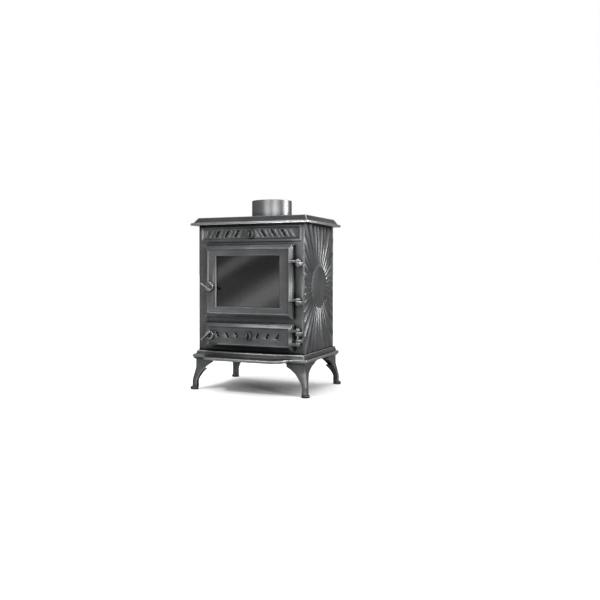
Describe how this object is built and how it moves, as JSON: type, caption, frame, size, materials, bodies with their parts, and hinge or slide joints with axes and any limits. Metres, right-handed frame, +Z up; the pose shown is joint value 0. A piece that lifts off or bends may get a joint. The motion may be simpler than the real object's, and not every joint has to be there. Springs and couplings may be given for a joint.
{
  "type": "cast iron stove",
  "caption": "Freestanding cast iron wood stove on cabriole legs with a glazed fire door, slotted ash door, air vents, sunburst sides and a round top flue collar.",
  "frame": {"origin": "middle of the footprint's bounding box, on the floor under the feet", "axes": "+Z up along the flue, -Y towards the doors and the hearth, +X to the hinge side"},
  "size_m": [0.463, 0.416, 0.692],
  "materials": {
    "painted_cast_iron": "satin stove paint over fine cast grain",
    "collar_iron": "smooth turned, satin stove paint",
    "handle_iron": "satin, rubbed on its edges",
    "raw_cast_iron": "raw casting, matt",
    "bolt_steel": "blackened",
    "sheet_steel": "blued sheet",
    "ceramic_glass": "clear and glossy, dark against the fire box",
    "rope_seal": "braided glass fibre",
    "fire_brick": "pressed vermiculite, matt"
  },
  "bodies": {
    "root": {"top_plate": "painted_cast_iron", "flue_collar": "collar_iron", "collar_ring": "collar_iron", "collar_bolts": "bolt_steel", "front_plate": "painted_cast_iron", "right_side_panel": "painted_cast_iron", "left_side_panel": "painted_cast_iron", "back_plate": "painted_cast_iron", "base_plate": "painted_cast_iron", "leg_front_left": "painted_cast_iron", "leg_front_right": "painted_cast_iron", "leg_rear_left": "painted_cast_iron", "leg_rear_right": "painted_cast_iron", "tie_rods": "bolt_steel", "tie_rod_nuts": "bolt_steel", "fire_door_hinge_pins": "handle_iron", "ash_door_hinge_pin": "handle_iron", "firebox_floor": "raw_cast_iron", "grate": "raw_cast_iron", "rear_fire_brick": "fire_brick", "right_fire_brick": "fire_brick", "left_fire_brick": "fire_brick", "log_guard": "raw_cast_iron", "baffle_plate": "fire_brick", "air_deflector": "sheet_steel", "ash_pan": "sheet_steel"},
    "fire_door": {"fire_door": "painted_cast_iron", "door_glass": "ceramic_glass", "glass_clips": "sheet_steel", "glass_clip_screws": "bolt_steel", "fire_door_rope": "rope_seal"},
    "fire_door_latch": {"fire_door_handle": "handle_iron", "fire_latch_cam": "handle_iron", "fire_latch_nut": "bolt_steel"},
    "ash_door": {"ash_door": "painted_cast_iron", "ash_door_rope": "rope_seal"},
    "ash_door_latch": {"ash_door_handle": "handle_iron", "ash_latch_cam": "handle_iron", "ash_latch_nut": "bolt_steel"},
    "vent_slider": {"vent_shutter": "sheet_steel", "vent_knob": "handle_iron"},
    "ash_air_slider": {"ash_shutter": "sheet_steel", "ash_air_knob": "handle_iron"}
  },
  "joints": [
    {"name": "fire_door_swing", "type": "hinge", "parent": "root", "child": "fire_door", "pos_m": [0.19, -0.138, 0.3925], "axis": [0, 0, 1], "range_deg": [0, 110]},
    {"name": "fire_handle_turn", "type": "hinge", "parent": "fire_door", "child": "fire_door_latch", "pos_m": [-0.148, -0.1448, 0.3738], "axis": [0, 1, 0], "range_deg": [0, 90]},
    {"name": "ash_door_swing", "type": "hinge", "parent": "root", "child": "ash_door", "pos_m": [0.19, -0.138, 0.2], "axis": [0, 0, 1], "range_deg": [0, 110]},
    {"name": "ash_handle_turn", "type": "hinge", "parent": "ash_door", "child": "ash_door_latch", "pos_m": [-0.148, -0.1448, 0.2], "axis": [0, 1, 0], "range_deg": [0, 90]},
    {"name": "vent_slide", "type": "slide", "parent": "root", "child": "vent_slider", "axis": [1, 0, 0], "range_m": [-0.003, 0.008]},
    {"name": "ash_air_slide", "type": "slide", "parent": "ash_door", "child": "ash_air_slider", "axis": [1, 0, 0], "range_m": [-0.0045, 0.0061]}
  ]
}
